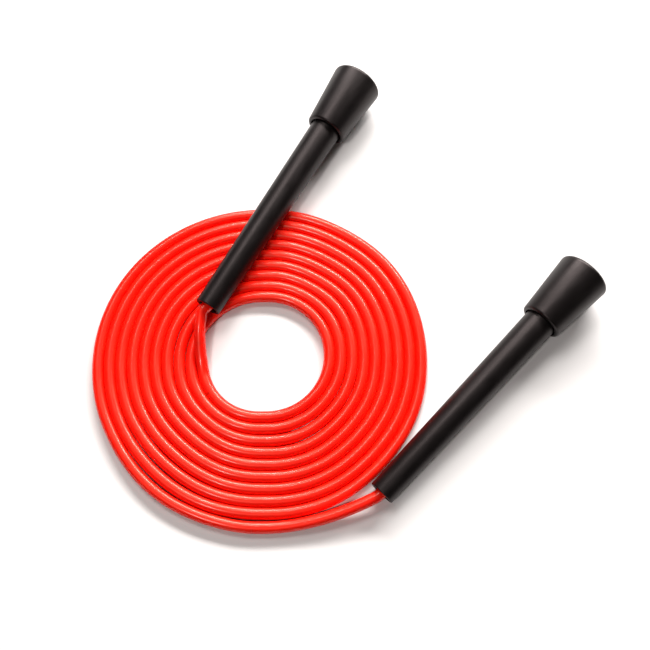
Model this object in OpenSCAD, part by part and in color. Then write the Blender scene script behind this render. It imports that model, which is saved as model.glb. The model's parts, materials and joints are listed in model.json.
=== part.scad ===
// Jump rope: a glossy plastic cord wound into a flat, slightly oval coil, with a hollow
// spinning handle on each end. Handle A lies over the coil, handle B lies beside it on the floor.
// Millimetres, +Z up, floor at z = 0, origin at the middle of the footprint.

/* [Cord] */
// Diameter of the cord
cord_d = 5; // [4.5:0.1:5]
// Distance between neighbouring turns, a little over the cord diameter
pitch = 5.1; // [5.05:0.05:5.3]
// Radius of the innermost half turn, to the middle of the cord
inner_r = 27.8; // [27:0.2:29]
// Number of whole turns
turns = 9; // [8:1:9]
// Straight length that makes each turn a little longer than it is wide
oval = 3.2; // [0.2:0.1:4]
// Angle of the last part turn, where tail B leaves the coil
last_turn_angle = 3; // [2:0.5:6]
// Compass direction from the coil's middle to the place where tail A leaves it
lead_in_angle = 195; // [190:1:200]

/* [Handle] */
// Length of a handle from its mouth to its butt
handle_l = 133.5; // [130:0.5:140]
// Diameter of the tube at the mouth
tube_front_d = 11.6; // [11.6:0.1:12]
// Diameter of the tube where it enters the end cap
tube_back_d = 14.4; // [14.2:0.1:15]
// Length of the flared end cap
cap_l = 31; // [30:0.5:34]
// Diameter of the end cap at its ledge
cap_ledge_d = 19; // [18.8:0.1:19.6]
// Diameter of the end cap at the butt
cap_butt_d = 24.4; // [24.2:0.1:25]
// Radius of the rounded edge at the ledge
ledge_round = 1.2; // [0.8:0.1:1.4]
// Radius of the rounded edge at the butt
butt_round = 1.6; // [0.8:0.1:1.8]

/* [Inside a handle] */
// Depth of the bush below the mouth
bush_depth = 2.5; // [2:0.5:4]
// Length of the bush
bush_l = 8; // [6:0.5:10]
// Radial clearance of the cord in the bush
running_gap = 0.08; // [0.04:0.01:0.1]
// Thickness of the thrust washer
washer_t = 1; // [0.8:0.1:1.5]
// Length of the crimped stopper on the cord's end
stopper_l = 8; // [6:0.5:9]
// Travel of a handle along the cord
slide_travel = 100; // [60:5:100]

/* [Places] */
// Mouth of handle A, from the middle of the coil
mouth_a = [-26.1, 20.9];
// Compass heading of handle A, from its mouth to its butt
heading_a = 59.5; // [56:0.5:62]
// Mouth of handle B, from the middle of the coil
mouth_b = [49.3, -59.6];
// Compass heading of handle B
heading_b = 46; // [44:0.5:46]

/* [Hidden] */
$fn = 96;

cord_r = cord_d / 2;
fit_gap = 0.02;      // between parts that are pressed or glued together
rest_gap = 0.05;     // between parts that only touch
coil_gap = 0.25;     // under handle A, so that it can swing over the coil
joint_gap = 0.15;    // between a cord length's ball end and the length before it
neck = cord_r + joint_gap;
overcut = 1;         // how far a cut runs past the face it opens

// Handle, measured along its own axis from the mouth at 0
tube_front_r = tube_front_d / 2;
tube_back_r = tube_back_d / 2;
cap_ledge_r = cap_ledge_d / 2;
cap_butt_r = cap_butt_d / 2;
ledge_at = handle_l - cap_l;
tube_end = ledge_at + 15;            // the tube reaches this far into the cap
tube_chamfer = 0.5;
mouth_wall = 1.45;
bush_wall = 1;
back_wall = 1.3;
mouth_lip_r = tube_front_r - mouth_wall;
bush_r = tube_front_r - bush_wall;
cavity_r = tube_back_r - back_wall;
bush_end = bush_depth + bush_l;
cap_mouth_gap = 0.6;                 // ring of space round the tube where it enters the cap
cap_mouth_depth = 2;
plug_flange_r = 9.2;
plug_flange_t = 7;
plug_stem_r = cavity_r - fit_gap;
plug_stem_l = 4;
plug_chamfer = 0.5;
washer_r = bush_r - 0.3;
washer_bore_r = cord_r + 0.2;
stopper_r = 3.9;
stopper_waist_r = 3.5;
stopper_chamfer = 0.3;
stopper_at = bush_end + rest_gap + washer_t + rest_gap + slide_travel;
cord_stub = 1.5;                     // cord left showing behind the stopper
pivot_ahead = 3.5;                   // the cord bends this far in front of the mouth

// Coil: half turns on the right and the left, round two centres half a pitch apart in Y
right_centre = [0, pitch / 4, cord_r];
left_centre = [-oval, -pitch / 4, cord_r];
outer_r = inner_r + turns * pitch;          // the last part turn, on the right
widest_r = outer_r - pitch / 2;             // the last half turn on the left
right_edge_r = outer_r - pitch;             // the last half turn on the right
lead_in_r = inner_r - pitch / 2;

// Handle B lies on its mouth rim and its butt rim
tilt_b = atan2(cap_butt_r - tube_front_r, handle_l);
front_b = [mouth_b.x, mouth_b.y, tube_front_r * cos(tilt_b) + rest_gap];

// Handle A lies on the outermost half turn and on its butt rim
mouth_a_x = mouth_a.x - right_centre.x;
mouth_a_y = mouth_a.y - right_centre.y;
mouth_a_along = mouth_a_x * cos(heading_a) + mouth_a_y * sin(heading_a);
mouth_a_far = norm([mouth_a_x, mouth_a_y]);
edge_at = sqrt(pow(mouth_a_along, 2) + pow(right_edge_r, 2) - pow(mouth_a_far, 2)) - mouth_a_along;
edge_tube_r = tube_front_r + (tube_back_r - tube_front_r) * edge_at / ledge_at;
edge_axis_z = cord_d + coil_gap + edge_tube_r;
tilt_a = asin((cap_butt_r + rest_gap - edge_axis_z) / (handle_l - edge_at));
front_a = [mouth_a.x, mouth_a.y, edge_axis_z - edge_at * sin(tilt_a)];

function along(heading, tilt) = [cos(heading) * cos(tilt), sin(heading) * cos(tilt), sin(tilt)];
dir_a = along(heading_a, tilt_a);
dir_b = along(heading_b, tilt_b);
pivot_a = front_a - pivot_ahead * dir_a;
pivot_b = front_b - pivot_ahead * dir_b;

// Tail A climbs in one arc from the floor to the mouth of handle A, where it is level
root_a = left_centre + lead_in_r * [cos(lead_in_angle), sin(lead_in_angle), 0];
tail_a = pivot_a - root_a;
tail_a_run = norm([tail_a.x, tail_a.y]);
tail_a_heading = atan2(tail_a.y, tail_a.x);
tail_a_bend = 2 * atan2(tail_a.z, tail_a_run);
tail_a_r = tail_a_run / sin(tail_a_bend);

// Tail B leaves the coil along its last turn and reaches the mouth of handle B in one arc
root_b = right_centre + outer_r * [sin(last_turn_angle), -cos(last_turn_angle), 0];
tail_b = pivot_b - root_b;
tail_b_chord = norm(tail_b);
tail_b_heading = atan2(tail_b.y, tail_b.x);
tail_b_pitch = asin(tail_b.z / tail_b_chord);
tail_b_half_bend = tail_b_heading - last_turn_angle;
tail_b_r = tail_b_chord / (2 * sin(tail_b_half_bend));

// Middle of the footprint, measured from the middle of the coil
butt_a = front_a + handle_l * dir_a;
butt_b = front_b + handle_l * dir_b;
// How far the rounded butt reaches past its middle, where the handle's direction has this share
function butt_reach(share) =
    (cap_butt_r - butt_round) * sqrt(1 - pow(share, 2)) + butt_round * (1 - share);
x_low = left_centre.x - widest_r - cord_r;
x_high = butt_b.x + butt_reach(dir_b.x);
y_low = root_b.y - cord_r;
y_high = butt_a.y + butt_reach(dir_a.y);
centre = [(x_low + x_high) / 2, (y_low + y_high) / 2, 0];

// An arc of cord in the XY plane round the origin
module cord_arc(radius, from, sweep) {
    rotate_extrude(angle = sweep, start = from, $fn = 240)
        translate([radius, 0]) circle(r = cord_r, $fn = 32);
}

// The half ball on which a length of cord turns against the length before it, round the origin below z = 0
module cord_ball() {
    rotate_extrude($fn = 48) intersection() {
        circle(r = cord_r, $fn = 48);
        translate([0, -cord_r]) square(cord_r);
    }
}

// The straight between a left and a right half turn, at the given height in Y
module coil_straight(y) {
    translate([left_centre.x, y, cord_r]) rotate([0, 90, 0]) cylinder(r = cord_r, h = oval, $fn = 32);
}

// Puts a part drawn round +Z, with its mouth at the origin, on handle A or handle B
module on_handle(front, heading, tilt) {
    translate(front - centre) rotate([0, 90 - tilt, heading]) children();
}

module on_a() { on_handle(front_a, heading_a, tilt_a) children(); }
module on_b() { on_handle(front_b, heading_b, tilt_b) children(); }

module cord_coil() {
    lead_in_gap = neck / lead_in_r * 180 / PI;
    last_gap = neck / outer_r * 180 / PI;
    color("red") translate(-centre) {
        translate(left_centre)
            cord_arc(lead_in_r, 270, lead_in_angle + lead_in_gap - 270);
        for (turn = [0 : turns - 1]) {
            radius = inner_r + turn * pitch;
            coil_straight(right_centre.y - radius);
            translate(right_centre) cord_arc(radius, -90, 180);
            coil_straight(right_centre.y + radius);
            translate(left_centre) cord_arc(radius + pitch / 2, 90, 180);
        }
        coil_straight(right_centre.y - outer_r);
        translate(right_centre) cord_arc(outer_r, -90, last_turn_angle - last_gap);
    }
}

// A length of cord from the origin along +X, bent up or down in the XY plane by an arc of this radius.
// A negative bend turns down. It stops short of its end, where the next length has its ball.
module bent_cord(radius, bend) {
    side = sign(bend);
    end_gap = neck / radius * 180 / PI;
    rotate([0, 90, 0]) cord_ball();
    translate([0, side * radius, 0]) cord_arc(radius, -90 * side, bend - side * end_gap);
}

module cord_tail_a() {
    color("red") translate(root_a - centre) rotate([90, 0, tail_a_heading])
        rotate([0, 0, tail_a_bend]) bent_cord(tail_a_r, -tail_a_bend);
}

module cord_tail_b() {
    color("red") translate(root_b - centre) rotate([0, -tail_b_pitch, tail_b_heading])
        rotate([0, 0, -tail_b_half_bend]) bent_cord(tail_b_r, 2 * tail_b_half_bend);
}

// The cord's last length, straight through the bush and along the inside of the handle
module cord_end() {
    color("red") translate([0, 0, -pivot_ahead]) {
        cord_ball();
        cylinder(r = cord_r, h = pivot_ahead + stopper_at + stopper_l + cord_stub, $fn = 48);
    }
}

module handle_tube() {
    color("#1b1918") difference() {
        rotate_extrude() polygon([
            [0, 0], [tube_front_r - tube_chamfer, 0], [tube_front_r, tube_chamfer],
            [tube_back_r, ledge_at], [tube_back_r, tube_end], [0, tube_end]
        ]);
        translate([0, 0, -overcut]) cylinder(r = mouth_lip_r, h = bush_depth + 2 * overcut);
        translate([0, 0, bush_depth]) cylinder(r = bush_r, h = bush_l);
        translate([0, 0, bush_end]) cylinder(r1 = bush_r, r2 = cavity_r, h = tube_end - bush_end);
        translate([0, 0, tube_end - overcut / 2]) cylinder(r = cavity_r, h = overcut);
    }
}

// The sharp corner of the cap's outline at (x, y), outside its rounding; up is 1 or -1
module round_corner(x, y, up, radius) {
    centre_y = y + up * radius;
    difference() {
        translate([x - radius, min(y, centre_y)]) square(radius * [1.5, 1]);
        translate([x - radius, centre_y]) circle(r = radius);
    }
}

// Flared cap pushed onto the back of the tube, open at the butt for the plug
module end_cap() {
    color("#1b1918") difference() {
        rotate_extrude() {
            difference() {
                polygon([
                    [0, ledge_at], [cap_ledge_r, ledge_at],
                    [cap_butt_r, handle_l], [0, handle_l]
                ]);
                round_corner(cap_ledge_r, ledge_at, 1, ledge_round);
                round_corner(cap_butt_r, handle_l, -1, butt_round);
            }
        }
        translate([0, 0, ledge_at - overcut])
            cylinder(r = tube_back_r + cap_mouth_gap, h = cap_mouth_depth + overcut);
        translate([0, 0, ledge_at - overcut])
            cylinder(r = tube_back_r + fit_gap, h = tube_end - ledge_at + overcut + fit_gap);
        cylinder(r = cavity_r, h = handle_l);
        translate([0, 0, handle_l - plug_flange_t])
            cylinder(r = plug_flange_r, h = plug_flange_t + overcut);
    }
}

module butt_plug() {
    flange_at = handle_l - plug_flange_t + fit_gap;
    stem_at = handle_l - plug_flange_t - plug_stem_l;
    flange_r = plug_flange_r - fit_gap;
    color("#111010") rotate_extrude() polygon([
        [0, stem_at], [plug_stem_r - plug_chamfer, stem_at], [plug_stem_r, stem_at + plug_chamfer],
        [plug_stem_r, flange_at], [flange_r, flange_at], [flange_r, handle_l], [0, handle_l]
    ]);
}

module mouth_bush() {
    color("dimgray") difference() {
        translate([0, 0, bush_depth + fit_gap]) cylinder(r = bush_r - fit_gap, h = bush_l - fit_gap);
        cylinder(r = cord_r + running_gap, h = bush_end + overcut);
    }
}

module thrust_washer() {
    color("silver") translate([0, 0, bush_end + rest_gap]) difference() {
        cylinder(r = washer_r, h = washer_t);
        translate([0, 0, -overcut]) cylinder(r = washer_bore_r, h = washer_t + 2 * overcut);
    }
}

// Metal barrel crimped round the cord's end, with a squeezed waist
module cord_stopper() {
    rim_r = stopper_r - stopper_chamfer;
    color("goldenrod") translate([0, 0, stopper_at]) difference() {
        rotate_extrude() polygon([
            [0, 0], [rim_r, 0], [stopper_r, stopper_chamfer], [stopper_r, stopper_l * 0.3],
            [stopper_waist_r, stopper_l * 0.4], [stopper_waist_r, stopper_l * 0.6],
            [stopper_r, stopper_l * 0.7], [stopper_r, stopper_l - stopper_chamfer],
            [rim_r, stopper_l], [0, stopper_l]
        ]);
        translate([0, 0, -overcut]) cylinder(r = cord_r + fit_gap, h = stopper_l + 2 * overcut);
    }
}

cord_coil();
cord_tail_a();
on_a() cord_end();  // cord_end_a
cord_tail_b();
on_b() cord_end();  // cord_end_b
on_a() handle_tube();  // handle_tube_a
on_a() end_cap();  // end_cap_a
on_a() butt_plug();  // butt_plug_a
on_a() mouth_bush();  // mouth_bush_a
on_a() thrust_washer();  // thrust_washer_a
on_a() cord_stopper();  // cord_stopper_a
on_b() handle_tube();  // handle_tube_b
on_b() end_cap();  // end_cap_b
on_b() butt_plug();  // butt_plug_b
on_b() mouth_bush();  // mouth_bush_b
on_b() thrust_washer();  // thrust_washer_b
on_b() cord_stopper();  // cord_stopper_b
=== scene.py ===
"""Jump rope: a glossy red cord in a flat coil with two black handles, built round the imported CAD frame."""
import json
import math

import bmesh
import bpy
import numpy as np
from mathutils import Matrix, Vector


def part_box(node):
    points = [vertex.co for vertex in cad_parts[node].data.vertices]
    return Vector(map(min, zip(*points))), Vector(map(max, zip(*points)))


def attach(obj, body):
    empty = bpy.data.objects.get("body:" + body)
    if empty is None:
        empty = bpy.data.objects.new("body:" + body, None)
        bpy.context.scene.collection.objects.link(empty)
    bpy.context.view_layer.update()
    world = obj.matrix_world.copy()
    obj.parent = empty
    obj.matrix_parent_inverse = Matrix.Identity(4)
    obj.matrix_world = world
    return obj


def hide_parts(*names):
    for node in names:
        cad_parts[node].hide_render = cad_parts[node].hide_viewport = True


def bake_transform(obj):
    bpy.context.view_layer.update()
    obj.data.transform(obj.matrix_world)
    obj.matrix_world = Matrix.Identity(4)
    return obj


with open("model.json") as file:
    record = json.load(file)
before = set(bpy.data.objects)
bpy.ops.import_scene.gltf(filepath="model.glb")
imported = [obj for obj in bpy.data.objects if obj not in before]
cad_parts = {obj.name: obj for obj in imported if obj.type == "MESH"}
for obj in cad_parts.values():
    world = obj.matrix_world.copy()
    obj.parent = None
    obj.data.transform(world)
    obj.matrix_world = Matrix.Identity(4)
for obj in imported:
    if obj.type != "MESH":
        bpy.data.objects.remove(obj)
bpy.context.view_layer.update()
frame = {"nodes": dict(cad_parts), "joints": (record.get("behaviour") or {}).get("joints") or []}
JOINTS = {joint["name"]: joint for joint in frame["joints"]}

# Lengths are in metres, as the frame's are.
MM = 0.001
SIDES = ("a", "b")

# The coil, as in the CAD: half turns on the right and the left, round two centres, with straights between
PITCH = 5.1 * MM
CORD_R = PITCH / 2  # a little more than the CAD's, so that the turns touch as a soft cord's do
INNER_R = 27.8 * MM
TURNS = 9
OVAL = 3.2 * MM
LEAD_IN = 195
LAST_TURN = 3
LEAD_IN_R = INNER_R - PITCH / 2
WIDEST_R = INNER_R + (TURNS - 0.5) * PITCH
OUTER_R = INNER_R + TURNS * PITCH
BEND_REACH = 8 * MM  # a bending piece of cord starts this far before its joint
CORD_STEP = 1.5 * MM
CORD_FINE_STEP = 0.8 * MM  # where the cord turns into a mouth
CORD_SIDES = 32
INNER_CORD_RINGS = 60      # along the straight cord inside a handle

# A hand-wound coil isn't quite round: (outward shift, compass direction, half width in degrees) of each dent
# or bulge. They are the same in every turn, so that neighbouring turns follow each other.
BENDS = ((0.35 * MM, 32, 28), (-0.45 * MM, 60, 24), (0.9 * MM, 150, 60), (-1.2 * MM, 228, 34),
         (0.95 * MM, 292, 36), (0.5 * MM, 334, 28))
FADE_IN = 800 * MM      # the innermost turns are rounder
FADE_OUT = 25 * MM
# (outward shift, degrees before the coil's end, half width in degrees) of the outer turns' own bulges
BULGES = ((1.4 * MM, 40, 30), (0.8 * MM, 400, 36), (0.3 * MM, 758, 40))
END_SHIFT = 0.9 * MM    # the coil's end lies this far outside its round
END_REACH = 40 * MM

# How the cord reaches each mouth: compass headings, rise over run, and sideways distance from the axis
TAIL_A_START_SLOPE = 0.12
TAIL_A_START_HEADING = 102
TAIL_A_END_HEADING = 80
TAIL_A_END_SLOPE = 0.2
TAIL_A_OFF_AXIS = 0.9 * MM
TAIL_B_END_HEADING = 26
TAIL_B_OFF_AXIS = 0.8 * MM

# The flared cap's outline, before its edges are rounded
CAP_LEDGE_R = 9.5 * MM
CAP_BUTT_R = 12.2 * MM
LEDGE_ROUND = 1.2 * MM
BUTT_ROUND = 1.6 * MM
PLUG_FLANGE_T = 7 * MM
CAP_MOUTH_GAP = 0.6 * MM
CAP_MOUTH_DEPTH = 2 * MM
FIT_GAP = 0.02 * MM

# Small edges and details, which the CAD leaves sharp, chamfered or plain
MOUTH_ROUND = 0.5 * MM
MOUTH_LIP_ROUND = 0.35 * MM
EDGE_ROUND = 0.3 * MM
PLUG_STEM_ROUND = 0.5 * MM
PLUG_RIM_ROUND = 0.4 * MM
PLUG_RING_OUTER_R = 7 * MM  # a ring sunk into the butt plug's face
PLUG_RING_INNER_R = 5.4 * MM
PLUG_RING_ROUND = 0.15 * MM
PLUG_DIMPLE_R = 1.05 * MM   # where the plastic came in
PLUG_DIMPLE_ROUND = 0.1 * MM
PLUG_DISH = 0.35 * MM       # depth of the ring and the dimple
PLUG_SLOPE = 0.2 * MM       # half the width of the ring's sloping walls
PLUG_DIMPLE_SLOPE = 0.25 * MM
PLUG_MIDDLE_R = 0.02 * MM   # the lathe leaves the axis itself free

# The studio: the camera and lights stand in these directions from the object, in degrees
CAMERA_ELEVATION = 72.16
CAMERA_DISTANCE = 0.375
CAMERA_TARGET = Vector((-0.0108, -0.0170, 0))
CAMERA_LENS = 45.8  # this and the sensor's width are in millimetres, as Blender takes them
CAMERA_SENSOR = 36
LIGHT_DISTANCE = 1.2
LIGHT_COLOUR = (1, 0.965, 0.945)
FILL_COLOUR = (1, 0.95, 0.93)
ROOM_COLOUR = (1, 0.85, 0.80, 1)
ROOM_STRENGTH = 0.06
PAPER_COLOUR = (0.76, 0.752, 0.745, 1)
PAPER_HALF_SIZE = 1.0
PAPER_FADE_FROM = 0.3
PAPER_FADE_TO = 0.7

UP = Vector((0, 0, 1))


# ---------------------------------------------------------------- measuring the frame

def joint_place(name):
    return Vector(JOINTS[name]["pos_m"])


def handle_axis(side):
    return Vector(JOINTS["handle_spin_" + side]["axis"]).normalized()


def mouth(side):
    return joint_place("handle_spin_" + side)


def handle_matrix(side):
    """Places a shape drawn round +Z, with the handle's mouth at the origin."""
    turn = handle_axis(side).to_track_quat("Z", "Y").to_matrix().to_4x4()
    return Matrix.Translation(mouth(side)) @ turn


def along_and_radius(node, side):
    """How far each vertex of a CAD node lies along the handle's axis, and how far from it."""
    vertices = np.array([v.co for v in frame["nodes"][node].data.vertices], float)
    offset = vertices - np.array(mouth(side))
    axis = np.array(handle_axis(side))
    along = offset @ axis
    radius = np.linalg.norm(offset - np.outer(along, axis), axis=1)
    return along, radius


def ring_radius(node, side, at, pick=max, window=0.3 * MM):
    """The largest or smallest radius of a CAD node within a window round a place along the axis."""
    along, radius = along_and_radius(node, side)
    return float(pick(radius[np.abs(along - at) < window]))


def span(node, side):
    """Where a CAD node starts and ends along the handle's axis."""
    along = along_and_radius(node, side)[0]
    return float(along.min()), float(along.max())


# ---------------------------------------------------------------- mesh helpers

def finish_mesh(name, mesh, material, smooth_angle=40):
    """Cleans a new mesh, smooths it except at edges sharper than the angle, and puts it in the scene."""
    mesh.validate()
    build = bmesh.new()
    build.from_mesh(mesh)
    bmesh.ops.recalc_face_normals(build, faces=build.faces)
    build.to_mesh(mesh)
    build.free()
    mesh.shade_smooth()
    mesh.set_sharp_from_angle(angle=math.radians(smooth_angle))
    mesh.materials.append(material)
    made = bpy.data.objects.new(name, mesh)
    bpy.context.scene.collection.objects.link(made)
    return made


def store_texture_place(mesh, places):
    """Keeps each vertex's place on the unrolled part, so that its texture moves and bends with it."""
    attribute = mesh.attributes.new("texture_place", "FLOAT_VECTOR", "POINT")
    attribute.data.foreach_set("vector", np.array(places, np.float32).ravel())


def rounded(corners, steps=8):
    """A closed outline of (along, radius, rounding) corners, with each rounded corner as an arc."""
    outline = []
    for index, (x, y, rounding) in enumerate(corners):
        corner = Vector((x, y))
        if rounding <= 0:
            outline.append(corner)
            continue
        before = (Vector(corners[index - 1][:2]) - corner).normalized()
        after = (Vector(corners[(index + 1) % len(corners)][:2]) - corner).normalized()
        half_angle = before.angle(after) / 2
        centre = corner + (before + after).normalized() * rounding / math.sin(half_angle)
        start = corner + before * rounding / math.tan(half_angle) - centre
        end = corner + after * rounding / math.tan(half_angle) - centre
        arc_turn = start.angle_signed(end)
        for step in range(steps + 1):
            turn = Matrix.Rotation(-arc_turn * step / steps, 2)
            outline.append(centre + turn @ start)
    return outline


def lathe(name, side, outline, material, segments=128):
    """Turns a closed outline of (along, radius) points round a handle's axis."""
    place = handle_matrix(side)
    angles = [2 * math.pi * step / segments for step in range(segments)]
    vertices = []
    places = []
    for x, r in outline:
        for angle in angles:
            local = Vector((r * math.cos(angle), r * math.sin(angle), x))
            vertices.append(place @ local)
            places.append(local)
    faces = []
    for ring in range(len(outline)):
        next_ring = (ring + 1) % len(outline)
        for step in range(segments):
            next_step = (step + 1) % segments
            faces.append((ring * segments + step, ring * segments + next_step,
                          next_ring * segments + next_step, next_ring * segments + step))
    mesh = bpy.data.meshes.new(name)
    mesh.from_pydata(vertices, [], faces)
    store_texture_place(mesh, places)
    return finish_mesh(name, mesh, material)


def sweep(name, path, radius, material):
    """A closed round tube along a path of points, turned as little as possible from ring to ring."""
    points = [Vector(point) for point in path]
    tangents = []
    for index in range(len(points)):
        ahead = points[min(index + 1, len(points) - 1)]
        behind = points[max(index - 1, 0)]
        tangents.append((ahead - behind).normalized())
    side_way = tangents[0].cross(UP).normalized()
    along = 0.0
    vertices = []
    places = []
    for index, point in enumerate(points):
        if index > 0:
            side_way = tangents[index - 1].rotation_difference(tangents[index]) @ side_way
            along += (point - points[index - 1]).length
        up_way = side_way.cross(tangents[index])
        for step in range(CORD_SIDES):
            angle = 2 * math.pi * step / CORD_SIDES
            spoke = side_way * math.cos(angle) + up_way * math.sin(angle)
            vertices.append(point + spoke * radius)
            places.append((radius * math.cos(angle), radius * math.sin(angle), along))
    faces = []
    for ring in range(len(points) - 1):
        for step in range(CORD_SIDES):
            next_step = (step + 1) % CORD_SIDES
            faces.append((ring * CORD_SIDES + step, ring * CORD_SIDES + next_step,
                          (ring + 1) * CORD_SIDES + next_step, (ring + 1) * CORD_SIDES + step))
    faces.append(tuple(range(CORD_SIDES)))
    last = (len(points) - 1) * CORD_SIDES
    faces.append(tuple(last + step for step in range(CORD_SIDES)))
    mesh = bpy.data.meshes.new(name)
    mesh.from_pydata(vertices, [], faces)
    store_texture_place(mesh, places)
    return finish_mesh(name, mesh, material, smooth_angle=60)


def curve_between(start, start_way, end, end_way, step=CORD_STEP):
    """Points of a smooth curve from start to end, leaving and arriving in the given directions."""
    reach = (end - start).length
    count = max(4, math.ceil(reach / step))
    points = []
    for index in range(count + 1):
        t = index / count
        points.append(start * (2 * t**3 - 3 * t**2 + 1) + start_way * reach * (t**3 - 2 * t**2 + t)
                      + end * (3 * t**2 - 2 * t**3) + end_way * reach * (t**3 - t**2))
    return points


def joined(*stretches):
    """One path from stretches that each start where the one before ends."""
    path = list(stretches[0])
    for stretch in stretches[1:]:
        path.extend(stretch[1:])
    return path


# ---------------------------------------------------------------- materials

def new_material(name):
    material = bpy.data.materials.new(name)
    material.use_nodes = True
    tree = material.node_tree
    return material, tree, tree.nodes["Principled BSDF"]


def texture_place(tree, stretch=(1, 1, 1)):
    """The place stored by store_texture_place, scaled so that noise can be drawn out along one way."""
    attribute = tree.nodes.new("ShaderNodeAttribute")
    attribute.attribute_name = "texture_place"
    scaled = tree.nodes.new("ShaderNodeVectorMath")
    scaled.operation = "MULTIPLY"
    scaled.inputs[1].default_value = stretch
    tree.links.new(attribute.outputs["Vector"], scaled.inputs[0])
    return scaled.outputs[0]


def noise(tree, place, size, detail=3.0):
    """Noise whose features are about size metres across."""
    node = tree.nodes.new("ShaderNodeTexNoise")
    node.inputs["Scale"].default_value = 1 / size
    node.inputs["Detail"].default_value = detail
    tree.links.new(place, node.inputs["Vector"])
    return node.outputs["Fac"]


def remap(tree, value, low, high, start=0.3, end=0.7):
    """Turns values from start to end, which is where most noise lies, into values from low to high."""
    node = tree.nodes.new("ShaderNodeMapRange")
    node.inputs["From Min"].default_value = start
    node.inputs["From Max"].default_value = end
    node.inputs["To Min"].default_value = low
    node.inputs["To Max"].default_value = high
    tree.links.new(value, node.inputs["Value"])
    return node.outputs["Result"]


def mix_colour(tree, share, first, second):
    """The first colour where share is 0, the second where it is 1."""
    node = tree.nodes.new("ShaderNodeMix")
    node.data_type = "RGBA"
    node.inputs["A"].default_value = (*first, 1)
    node.inputs["B"].default_value = (*second, 1)
    tree.links.new(share, node.inputs["Factor"])
    return node.outputs["Result"]


def bump(tree, height, distance, under=None):
    """A raised pattern of this depth in metres, on top of the pattern under it."""
    node = tree.nodes.new("ShaderNodeBump")
    node.inputs["Strength"].default_value = 1
    node.inputs["Distance"].default_value = distance
    tree.links.new(height, node.inputs["Height"])
    if under is not None:
        tree.links.new(under, node.inputs["Normal"])
    return node.outputs["Normal"]


def cord_material():
    """Glossy red PVC: a little light soaks in, and faint die lines run along the cord."""
    material, tree, shader = new_material("red_pvc")
    patches = noise(tree, texture_place(tree), 14 * MM, 2)
    colour = mix_colour(tree, remap(tree, patches, 0, 1), (0.88, 0.0048, 0.0007), (0.94, 0.0080, 0.0012))
    tree.links.new(colour, shader.inputs["Base Color"])
    die_lines = noise(tree, texture_place(tree, (1, 1, 0.02)), 0.5 * MM, 2)
    ripples = noise(tree, texture_place(tree, (1, 1, 0.5)), 3.5 * MM, 2)
    smears = noise(tree, texture_place(tree, (1, 1, 0.3)), 2.5 * MM, 4)
    tree.links.new(remap(tree, smears, 0.38, 0.46), shader.inputs["Roughness"])
    shader.inputs["Specular IOR Level"].default_value = 0.36
    shader.inputs["Specular Tint"].default_value = (1, 0.82, 0.55, 1)
    shader.inputs["Coat Weight"].default_value = 0.26
    shader.inputs["Coat Tint"].default_value = (1, 0.95, 0.9, 1)
    shader.inputs["Coat Roughness"].default_value = 0.14
    surface = bump(tree, die_lines, 0.02 * MM)
    surface = bump(tree, ripples, 0.12 * MM, under=surface)
    tree.links.new(surface, shader.inputs["Normal"])
    shader.inputs["IOR"].default_value = 1.53
    shader.inputs["Subsurface Weight"].default_value = 1.0
    shader.inputs["Subsurface Radius"].default_value = (1.0, 0.1, 0.05)
    shader.inputs["Subsurface Scale"].default_value = 0.9 * MM
    return material


def handle_material():
    """Satin black moulded plastic with a fine grain and a slightly warm tint."""
    material, tree, shader = new_material("black_satin_plastic")
    patches = noise(tree, texture_place(tree), 9 * MM, 3)
    colour = mix_colour(tree, remap(tree, patches, 0, 1), (0.0012, 0.0009, 0.0009), (0.0022, 0.0018, 0.0018))
    tree.links.new(colour, shader.inputs["Base Color"])
    smears = noise(tree, texture_place(tree, (1, 1, 0.35)), 3 * MM, 4)
    tree.links.new(remap(tree, smears, 0.37, 0.45), shader.inputs["Roughness"])
    grain = noise(tree, texture_place(tree), 0.22 * MM, 2)
    flow = noise(tree, texture_place(tree, (1, 1, 0.15)), 1.6 * MM, 2)
    surface = bump(tree, grain, 0.012 * MM)
    surface = bump(tree, flow, 0.03 * MM, under=surface)
    tree.links.new(surface, shader.inputs["Normal"])
    shader.inputs["IOR"].default_value = 1.5
    shader.inputs["Specular IOR Level"].default_value = 0.33
    shader.inputs["Specular Tint"].default_value = (1, 0.85, 0.84, 1)
    return material


def plug_material():
    """A slightly greyer, duller black than the handle's."""
    material, tree, shader = new_material("black_plug_plastic")
    place = texture_place(tree)
    patches = noise(tree, place, 5 * MM, 3)
    colour = mix_colour(tree, remap(tree, patches, 0, 1), (0.012, 0.011, 0.011), (0.018, 0.016, 0.016))
    tree.links.new(colour, shader.inputs["Base Color"])
    tree.links.new(remap(tree, patches, 0.42, 0.55), shader.inputs["Roughness"])
    tree.links.new(bump(tree, noise(tree, place, 0.2 * MM, 2), 0.015 * MM), shader.inputs["Normal"])
    return material


def object_place(tree):
    return tree.nodes.new("ShaderNodeTexCoord").outputs["Object"]


def bush_material():
    """Dark grey nylon, on a CAD node that stays in view inside the mouth."""
    material, tree, shader = new_material("grey_nylon")
    patches = noise(tree, object_place(tree), 2 * MM, 3)
    colour = mix_colour(tree, remap(tree, patches, 0, 1), (0.045, 0.042, 0.040), (0.065, 0.060, 0.056))
    tree.links.new(colour, shader.inputs["Base Color"])
    tree.links.new(remap(tree, patches, 0.38, 0.5), shader.inputs["Roughness"])
    return material


def metal_material(name, colour, worn_colour):
    """Satin metal with small worn patches."""
    material, tree, shader = new_material(name)
    patches = noise(tree, object_place(tree), 1.5 * MM, 4)
    mixed = mix_colour(tree, remap(tree, patches, 0, 1), colour, worn_colour)
    tree.links.new(mixed, shader.inputs["Base Color"])
    tree.links.new(remap(tree, patches, 0.25, 0.45), shader.inputs["Roughness"])
    shader.inputs["Metallic"].default_value = 1
    return material


# ---------------------------------------------------------------- the cord

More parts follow.
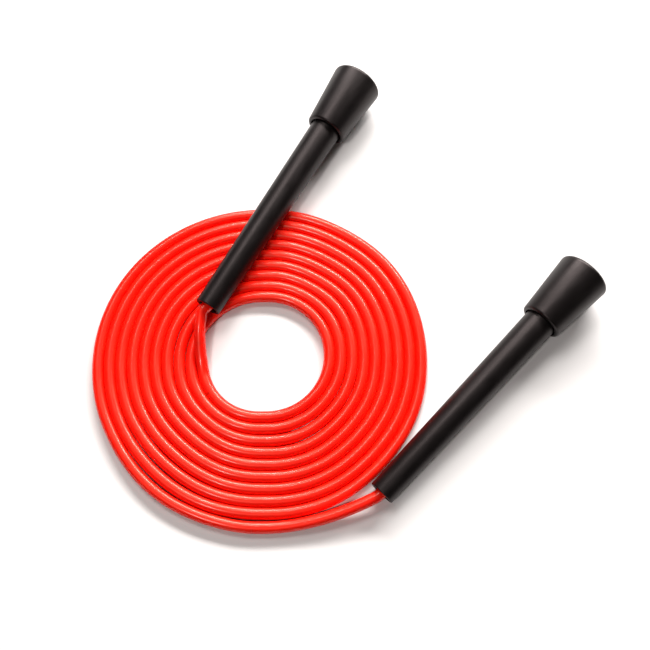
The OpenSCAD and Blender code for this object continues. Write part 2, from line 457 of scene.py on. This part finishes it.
def arc(centre, radius, start, turn):
    """Points of an arc in the floor's plane, from start degrees through turn degrees."""
    count = max(2, math.ceil(math.radians(turn) * radius / CORD_STEP))
    points = []
    for index in range(count + 1):
        angle = math.radians(start + turn * index / count)
        points.append(centre + radius * Vector((math.cos(angle), math.sin(angle), 0)))
    return points


def smooth(share):
    """Rises gently from 0 to 1 as share does, and stays level outside them."""
    share = min(max(share, 0), 1)
    return share * share * (3 - 2 * share)


def laid_by_hand(path):
    """Moves a path sideways by the bends and bulges of a coil that was wound by hand."""
    lengths = [0.0]
    turned = [math.radians(LEAD_IN)]
    for index in range(1, len(path)):
        lengths.append(lengths[-1] + (path[index] - path[index - 1]).length)
        if index < len(path) - 1:
            before = path[index] - path[index - 1]
            after = path[index + 1] - path[index]
            turned.append(turned[-1] + before.angle(after))
        else:
            turned.append(turned[-1])
    laid = []
    for index, point in enumerate(path):
        ahead = path[min(index + 1, len(path) - 1)] - path[max(index - 1, 0)]
        outward = ahead.cross(UP).normalized()
        fade = smooth(lengths[index] / FADE_IN) * smooth((lengths[-1] - lengths[index]) / FADE_OUT)
        shift = 0.0
        for height, compass, half_width in BENDS:
            off = abs((math.degrees(turned[index]) - compass + 180) % 360 - 180)
            shift += fade * height * smooth(1 - off / half_width)
        for height, before_end, half_width in BULGES:
            off = abs(math.degrees(turned[-1] - turned[index]) - before_end)
            shift += height * smooth(1 - off / half_width)
        shift += END_SHIFT * smooth(1 - (lengths[-1] - lengths[index]) / END_REACH)
        laid.append(point + outward * shift)
    return laid


def coil_path():
    """The middle line of the coil, from the root of tail A to the root of tail B."""
    low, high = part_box("cord_coil")
    cad_cord_r = (high.z - low.z) / 2
    middle = Vector((low.x + OVAL + WIDEST_R, low.y + OUTER_R - PITCH / 4, 0))
    middle += Vector((1, 1, 1)) * cad_cord_r
    right = middle + Vector((0, PITCH / 4, 0))
    left = middle - Vector((OVAL, PITCH / 4, 0))
    stretches = [arc(left, LEAD_IN_R, LEAD_IN, 270 - LEAD_IN)]
    for turn in range(TURNS):
        radius = INNER_R + turn * PITCH
        right_half = arc(right, radius, -90, 180)
        left_half = arc(left, radius + PITCH / 2, 90, 180)
        stretches.append([stretches[-1][-1]] + right_half)
        stretches.append([right_half[-1]] + left_half)
    stretches.append([stretches[-1][-1]] + arc(right, OUTER_R, -90, LAST_TURN))
    return laid_by_hand(joined(*stretches))


def split_path(path, reach):
    """Cuts a path at a distance from its start. Returns the short stretch and the rest."""
    done = 0.0
    for index in range(1, len(path)):
        done += (path[index] - path[index - 1]).length
        if done >= reach:
            return path[:index + 1], path[index:]
    raise ValueError("the path is shorter than the reach")


def way(heading, slope):
    """The direction with this compass heading and this rise over run."""
    return Vector((math.cos(math.radians(heading)), math.sin(math.radians(heading)), slope)).normalized()


def tail_path(side):
    """The middle line from the coil to the bend at the handle's mouth, and its direction there."""
    root = joint_place("cord_lift_" + side)
    bend = joint_place("cord_swing_" + side)
    axis = handle_axis(side)
    if side == "a":
        bend_way = way(TAIL_A_END_HEADING, TAIL_A_END_SLOPE)
        entry = bend - axis.cross(UP).normalized() * TAIL_A_OFF_AXIS
        return curve_between(root, way(TAIL_A_START_HEADING, TAIL_A_START_SLOPE), entry, bend_way), bend_way
    bend_way = way(TAIL_B_END_HEADING, axis.z)
    leave_way = way(LAST_TURN, 0)
    start = root + leave_way.cross(UP) * END_SHIFT
    entry = bend - axis.cross(UP).normalized() * TAIL_B_OFF_AXIS
    return curve_between(start, leave_way, entry, bend_way), bend_way


def build_tail(side, coil_end, material):
    """The cord from the coil into a handle, in two bending pieces and one straight one.

    coil_end is the last stretch of the coil, towards the handle.
    """
    axis = handle_axis(side)
    tail, bend_way = tail_path(side)
    bush_from = span("mouth_bush_" + side, side)[0]
    bush_face = mouth(side) + axis * bush_from
    into_mouth = curve_between(tail[-1], bend_way, bush_face, axis, step=CORD_FINE_STEP)
    middle = len(tail) // 2
    lower = sweep("cord_bend_low_" + side, joined(coil_end, tail[:middle + 1]), CORD_R, material)
    upper = sweep("cord_bend_high_" + side, joined(tail[middle:], into_mouth), CORD_R, material)
    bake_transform(lower)
    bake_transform(upper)
    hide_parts("cord_tail_" + side)
    cord_end = span("cord_end_" + side, side)[1]
    inner = [mouth(side) + axis * at for at in np.linspace(bush_from, cord_end, INNER_CORD_RINGS)]
    straight = sweep("cord_inner_" + side, inner, CORD_R, material)
    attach(straight, "inner_cord_" + side)
    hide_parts("cord_end_" + side)


def build_cord(material):
    """The whole cord: the round coil, and at each end the stretches that bend."""
    path = coil_path()
    start_a, path = split_path(path, BEND_REACH)
    path.reverse()
    start_b, path = split_path(path, BEND_REACH)
    coil = sweep("cord_coil_round", path, CORD_R, material)
    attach(coil, "coil")
    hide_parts("cord_coil")
    build_tail("a", start_a[::-1], material)
    build_tail("b", start_b[::-1], material)


# ---------------------------------------------------------------- the handles

def build_tube(side, material):
    """The tapered tube with its stepped bore, from the mouth into the cap."""
    node = "handle_tube_" + side
    start, end = span(node, side)
    bush_from, bush_to = span("mouth_bush_" + side, side)
    front_r = ring_radius(node, side, start + MOUTH_ROUND)
    back_r = ring_radius(node, side, end)
    ledge = span("end_cap_" + side, side)[0]
    lip_r = ring_radius(node, side, start, pick=min)
    bush_r = ring_radius(node, side, bush_to, pick=min)
    cavity_r = ring_radius(node, side, end, pick=min)
    outline = rounded([
        (start, front_r, MOUTH_ROUND), (ledge, back_r, 0), (end, back_r, EDGE_ROUND), (end, cavity_r, 0),
        (bush_to, bush_r, 0), (bush_from, bush_r, 0), (bush_from, lip_r, 0),
        (start, lip_r, MOUTH_LIP_ROUND)])
    piece = lathe("handle_tube_skin_" + side, side, outline, material)
    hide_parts(node)
    return piece


def build_cap(side, material):
    """The flared cap on the back of the tube, with the seat of the butt plug."""
    node = "end_cap_" + side
    ledge, butt = span(node, side)
    tube = "handle_tube_" + side
    tube_end = span(tube, side)[1]
    tube_r = ring_radius(tube, side, tube_end)
    through_r = ring_radius(tube, side, tube_end, pick=min)
    seat_r = ring_radius("butt_plug_" + side, side, butt)
    plug_from = butt - PLUG_FLANGE_T
    outline = rounded([
        (ledge, CAP_LEDGE_R, LEDGE_ROUND), (butt, CAP_BUTT_R, BUTT_ROUND),
        (butt, seat_r + FIT_GAP, EDGE_ROUND), (plug_from, seat_r + FIT_GAP, 0),
        (plug_from, through_r, 0), (tube_end + FIT_GAP, through_r, 0),
        (tube_end + FIT_GAP, tube_r + FIT_GAP, 0), (ledge + CAP_MOUTH_DEPTH, tube_r + FIT_GAP, 0),
        (ledge + CAP_MOUTH_DEPTH, tube_r + CAP_MOUTH_GAP, 0), (ledge, tube_r + CAP_MOUTH_GAP, EDGE_ROUND)])
    piece = lathe("end_cap_skin_" + side, side, outline, material)
    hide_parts(node)
    return piece


def build_plug(side, material):
    """The butt plug: a flat face with a sunk ring and a small dimple in the middle."""
    node = "butt_plug_" + side
    tube = "handle_tube_" + side
    stem_from, butt = span(node, side)
    flange_from = butt - PLUG_FLANGE_T + FIT_GAP
    flange_r = ring_radius(node, side, butt)
    stem_r = ring_radius(tube, side, span(tube, side)[1], pick=min) - FIT_GAP
    sunk = butt - PLUG_DISH
    outline = rounded([
        (stem_from, PLUG_MIDDLE_R, 0), (stem_from, stem_r, PLUG_STEM_ROUND), (flange_from, stem_r, 0),
        (flange_from, flange_r, 0), (butt, flange_r, PLUG_RIM_ROUND),
        (butt, PLUG_RING_OUTER_R + PLUG_SLOPE, PLUG_RING_ROUND),
        (sunk, PLUG_RING_OUTER_R - PLUG_SLOPE, PLUG_RING_ROUND),
        (sunk, PLUG_RING_INNER_R + PLUG_SLOPE, PLUG_RING_ROUND),
        (butt, PLUG_RING_INNER_R - PLUG_SLOPE, PLUG_RING_ROUND),
        (butt, PLUG_DIMPLE_R + PLUG_DIMPLE_SLOPE, PLUG_DIMPLE_ROUND),
        (sunk, PLUG_DIMPLE_R - PLUG_DIMPLE_SLOPE, PLUG_DIMPLE_ROUND), (sunk, PLUG_MIDDLE_R, 0)])
    piece = lathe("butt_plug_skin_" + side, side, outline, material)
    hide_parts(node)
    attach(piece, "handle_" + side)


def build_handle(side, plastic, plug_plastic):
    for piece in (build_tube(side, plastic), build_cap(side, plastic)):
        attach(piece, "handle_" + side)
    build_plug(side, plug_plastic)


def paint_node(node, material):
    """Gives a CAD node that stays in view its material."""
    mesh_object = frame["nodes"][node]
    for slot in mesh_object.material_slots:
        slot.material = material


# ---------------------------------------------------------------- the studio

def direction(compass, elevation):
    """The direction with this compass heading and height angle, in degrees."""
    flat = math.cos(math.radians(elevation))
    return Vector((flat * math.cos(math.radians(compass)), flat * math.sin(math.radians(compass)),
                   math.sin(math.radians(elevation))))


def place_looking(placed, target, back, distance):
    """Puts a camera or light at a distance from its target, looking at it."""
    placed.location = target + back * distance
    placed.rotation_mode = "QUATERNION"
    placed.rotation_quaternion = (-back).to_track_quat("-Z", "Y")
    bpy.context.scene.collection.objects.link(placed)


def area_light(name, compass, elevation, size, power, colour):
    """A rectangular light in this direction from the object, facing it."""
    data = bpy.data.lights.new(name, "AREA")
    data.shape = "RECTANGLE"
    data.size, data.size_y = size
    data.energy = power
    data.color = colour
    light = bpy.data.objects.new(name, data)
    place_looking(light, Vector((0, 0, 0)), direction(compass, elevation), LIGHT_DISTANCE)


def build_floor():
    """A sheet of white paper that fades into the white backdrop away from the object."""
    size = PAPER_HALF_SIZE
    mesh = bpy.data.meshes.new("floor")
    corners = [(-size, -size, 0), (size, -size, 0), (size, size, 0), (-size, size, 0)]
    mesh.from_pydata(corners, [], [(0, 1, 2, 3)])
    floor = bpy.data.objects.new("floor", mesh)
    bpy.context.scene.collection.objects.link(floor)
    material, tree, shader = new_material("white_paper")
    shader.inputs["Base Color"].default_value = PAPER_COLOUR
    shader.inputs["Roughness"].default_value = 0.9
    shader.inputs["Specular IOR Level"].default_value = 0.1
    distance = tree.nodes.new("ShaderNodeVectorMath")
    distance.operation = "LENGTH"
    tree.links.new(object_place(tree), distance.inputs[0])
    fade = remap(tree, distance.outputs["Value"], 1, 0, start=PAPER_FADE_FROM, end=PAPER_FADE_TO)
    tree.links.new(fade, shader.inputs["Alpha"])
    mesh.materials.append(material)


def build_world():
    """A dim, warm room that the camera sees as plain white."""
    world = bpy.data.worlds.new("studio")
    world.use_nodes = True
    tree = world.node_tree
    room = tree.nodes["Background"]
    room.inputs["Color"].default_value = ROOM_COLOUR
    room.inputs["Strength"].default_value = ROOM_STRENGTH
    backdrop = tree.nodes.new("ShaderNodeBackground")
    backdrop.inputs["Color"].default_value = (1, 1, 1, 1)
    backdrop.inputs["Strength"].default_value = 1
    seen_by = tree.nodes.new("ShaderNodeLightPath")
    chosen = tree.nodes.new("ShaderNodeMixShader")
    tree.links.new(seen_by.outputs["Is Camera Ray"], chosen.inputs["Fac"])
    tree.links.new(room.outputs["Background"], chosen.inputs[1])
    tree.links.new(backdrop.outputs["Background"], chosen.inputs[2])
    tree.links.new(chosen.outputs["Shader"], tree.nodes["World Output"].inputs["Surface"])
    bpy.context.scene.world = world


def build_camera():
    """A close camera that looks down on the coil from the front."""
    data = bpy.data.cameras.new("camera")
    data.sensor_width = CAMERA_SENSOR
    data.lens = CAMERA_LENS
    data.clip_start = 0.01
    camera = bpy.data.objects.new("camera", data)
    place_looking(camera, CAMERA_TARGET, direction(-90, CAMERA_ELEVATION), CAMERA_DISTANCE)
    bpy.context.scene.camera = camera


def build_studio():
    """A long low light behind the object, a soft one over the handles and a small fill in front."""
    build_floor()
    build_world()
    area_light("strip", 75, 34, (1.2, 0.22), 38, LIGHT_COLOUR)
    area_light("soft", 117, 62, (0.4, 0.3), 4.5, LIGHT_COLOUR)
    area_light("small", 231, 60, (0.12, 0.12), 4, FILL_COLOUR)
    build_camera()
    bpy.context.scene.view_settings.view_transform = "Standard"


# ---------------------------------------------------------------- assembly

build_cord(cord_material())
black_plastic = handle_material()
dark_plastic = plug_material()
nylon = bush_material()
steel = metal_material("zinc_steel", (0.55, 0.55, 0.54), (0.66, 0.66, 0.65))
brass = metal_material("brass", (0.70, 0.52, 0.24), (0.58, 0.42, 0.20))
for handle_side in SIDES:
    build_handle(handle_side, black_plastic, dark_plastic)
    paint_node("mouth_bush_" + handle_side, nylon)
    paint_node("thrust_washer_" + handle_side, steel)
    paint_node("cord_stopper_" + handle_side, brass)

build_studio()
